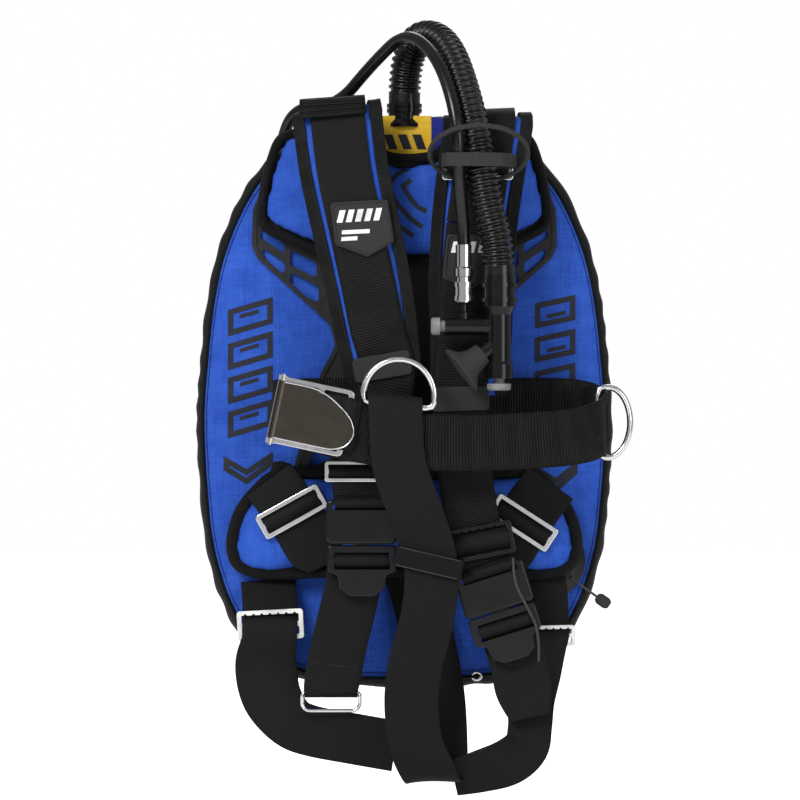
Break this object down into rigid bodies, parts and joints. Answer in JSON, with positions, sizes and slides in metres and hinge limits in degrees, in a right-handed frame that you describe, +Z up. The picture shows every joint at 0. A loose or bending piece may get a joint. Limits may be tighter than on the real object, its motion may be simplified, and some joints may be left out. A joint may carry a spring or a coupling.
{
  "type": "buoyancy compensator vest",
  "caption": "Back-inflation diving buoyancy vest: blue wing, grey skeleton backplate, padded webbing harness with clips and steel buckle, corrugated hose with power inflator, tank bands.",
  "frame": {"origin": "centre of the upper tank band's loop, on the tank's axis", "axes": "+Z up along the tank towards the valve, +Y from the wearer's front to the tank's back, +X to the right seen from the front"},
  "size_m": [0.3938, 0.3383, 0.6878],
  "materials": {
    "blue_nylon": "fine ripstop weave, slightly coated",
    "black_nylon": "coated nylon",
    "bladder_film": "welded urethane film",
    "yellow_patch": "coated fabric",
    "grey_polymer": "glass-filled nylon, fine texture",
    "stainless": "polished stainless steel",
    "blue_pad": "laminated cloth over foam, black binding",
    "black_pad": "laminated cloth over foam",
    "webbing": "ribbed nylon webbing",
    "black_rubber": "moulded rubber",
    "black_plastic": "moulded acetal",
    "grey_plastic": "moulded acetal",
    "pale_plastic": "moulded acetal",
    "chrome": "chromed brass",
    "spring_steel": "spring wire",
    "thin_cord": "braided cord"
  },
  "bodies": {
    "vest": {"back_pad": "blue_pad", "backplate": "grey_polymer", "belt_buckle_frame": "stainless", "belt_buckle_pin": "stainless", "bungee_ring": "black_rubber", "cam_frames": "stainless", "clip_female_left": "black_plastic", "clip_female_right": "black_plastic", "clip_male_left": "black_plastic", "clip_male_right": "black_plastic", "clip_slide": "black_plastic", "clip_tails": "webbing", "corrugated_hose": "black_rubber", "crotch_keeper": "webbing", "crotch_strap": "webbing", "hose_clamps": "stainless", "hose_keeper": "black_rubber", "inflator_body": "black_plastic", "leg_slides": "pale_plastic", "leg_strap_left": "webbing", "leg_strap_right": "webbing", "lp_fitting": "chrome", "lp_hose": "black_rubber", "lumbar_pad": "blue_pad", "lumbar_straps": "webbing", "mouthpiece": "black_rubber", "neck_patch": "yellow_patch", "opv_body": "black_plastic", "opv_spring": "spring_steel", "plate_bolts": "stainless", "qd_body": "chrome", "release_cord": "thin_cord", "shoulder_pad_left": "black_pad", "shoulder_pad_right": "black_pad", "shoulder_patches": "black_rubber", "shoulder_webbing_left": "webbing", "shoulder_webbing_right": "webbing", "steel_slides": "stainless", "tank_bands": "webbing", "waist_belt": "webbing", "wing_back_panel": "black_nylon", "wing_bladder": "bladder_film", "wing_front_panel": "blue_nylon", "wing_nozzle": "black_plastic"},
    "buckle_lever": {"belt_buckle_lever": "stainless"},
    "crotch_ring": {"crotch_d_ring": "stainless"},
    "hip_ring": {"hip_d_ring": "stainless"},
    "tail_ring": {"tail_d_ring": "stainless"},
    "inflate_valve": {"inflate_button": "grey_plastic"},
    "exhaust_valve": {"exhaust_button": "grey_plastic"},
    "coupling_sleeve": {"qd_sleeve": "chrome"},
    "dump_pull": {"opv_pull_cord": "thin_cord", "opv_toggle": "black_rubber"},
    "dump_poppet": {"opv_poppet": "black_plastic"},
    "cam_upper": {"cam_lever_upper": "stainless"},
    "cam_lower": {"cam_lever_lower": "stainless"},
    "prong_outer_left": {"clip_prong_outer_left": "black_plastic"},
    "prong_inner_left": {"clip_prong_inner_left": "black_plastic"},
    "prong_outer_right": {"clip_prong_outer_right": "black_plastic"},
    "prong_inner_right": {"clip_prong_inner_right": "black_plastic"}
  },
  "joints": [
    {"name": "belt_lever_hinge", "type": "hinge", "parent": "vest", "child": "buckle_lever", "pos_m": [-0.11328, -0.2161, -0.14314], "axis": [-0.2079, 0, -0.9781], "range_deg": [0, 150]},
    {"name": "crotch_ring_hinge", "type": "hinge", "parent": "vest", "child": "crotch_ring", "pos_m": [-0.006, -0.2066, -0.14], "axis": [0.9945, 0, -0.1045], "range_deg": [0, 75]},
    {"name": "hip_ring_hinge", "type": "hinge", "parent": "vest", "child": "hip_ring", "pos_m": [0.1735, -0.17, -0.155], "axis": [0, 0, 1], "range_deg": [-25, 25]},
    {"name": "tail_ring_hinge", "type": "hinge", "parent": "vest", "child": "tail_ring", "pos_m": [-0.066, -0.167, -0.398], "axis": [1, 0, 0], "range_deg": [-80, 12]},
    {"name": "inflate_press", "type": "slide", "parent": "vest", "child": "inflate_valve", "axis": [1, 0, 0], "range_m": [0, 0.0035], "stiffness_N_per_m": 900, "springref_m": -0.004},
    {"name": "exhaust_press", "type": "slide", "parent": "vest", "child": "exhaust_valve", "axis": [0, 0, 1], "range_m": [0, 0.0035], "stiffness_N_per_m": 900, "springref_m": -0.004},
    {"name": "coupling_sleeve_slide", "type": "slide", "parent": "vest", "child": "coupling_sleeve", "axis": [0, 0, 1], "range_m": [0, 0.003], "stiffness_N_per_m": 900, "springref_m": -0.004},
    {"name": "dump_pull_slide", "type": "slide", "parent": "vest", "child": "dump_pull", "axis": [0.813, 0, -0.5823], "range_m": [0, 0.01], "stiffness_N_per_m": 300, "springref_m": -0.012},
    {"name": "dump_poppet_lift", "type": "slide", "parent": "vest", "child": "dump_poppet", "axis": [0, -1, 0], "range_m": [0, 0.004], "deforming": ["opv_spring"]},
    {"name": "cam_upper_hinge", "type": "hinge", "parent": "vest", "child": "cam_upper", "pos_m": [-0.03873, 0.09587, 0], "axis": [0, 0, 1], "range_deg": [0, 110]},
    {"name": "cam_lower_hinge", "type": "hinge", "parent": "vest", "child": "cam_lower", "pos_m": [-0.03873, 0.09587, -0.16], "axis": [0, 0, 1], "range_deg": [0, 110]},
    {"name": "prong_outer_left_flex", "type": "hinge", "parent": "vest", "child": "prong_outer_left", "pos_m": [-0.0175, -0.177, -0.264], "axis": [0, -1, 0], "range_deg": [0, 8], "stiffness_Nm_per_rad": 0.15, "springref_deg": -1.15},
    {"name": "prong_inner_left_flex", "type": "hinge", "parent": "vest", "child": "prong_inner_left", "pos_m": [-0.0585, -0.177, -0.264], "axis": [0, 1, 0], "range_deg": [0, 8], "stiffness_Nm_per_rad": 0.15, "springref_deg": -1.15},
    {"name": "prong_outer_right_flex", "type": "hinge", "parent": "vest", "child": "prong_outer_right", "pos_m": [0.10555, -0.177, -0.31684], "axis": [0, -1, 0], "range_deg": [0, 8], "stiffness_Nm_per_rad": 0.15, "springref_deg": -1.15},
    {"name": "prong_inner_right_flex", "type": "hinge", "parent": "vest", "child": "prong_inner_right", "pos_m": [0.06645, -0.177, -0.32916], "axis": [0, 1, 0], "range_deg": [0, 8], "stiffness_Nm_per_rad": 0.15, "springref_deg": -1.15}
  ],
  "couplings": [
    {"joint": "dump_poppet_lift", "follows": "dump_pull_slide", "ratio": 0.4},
    {"joint": "prong_inner_left_flex", "follows": "prong_outer_left_flex", "ratio": 1},
    {"joint": "prong_inner_right_flex", "follows": "prong_outer_right_flex", "ratio": 1}
  ]
}
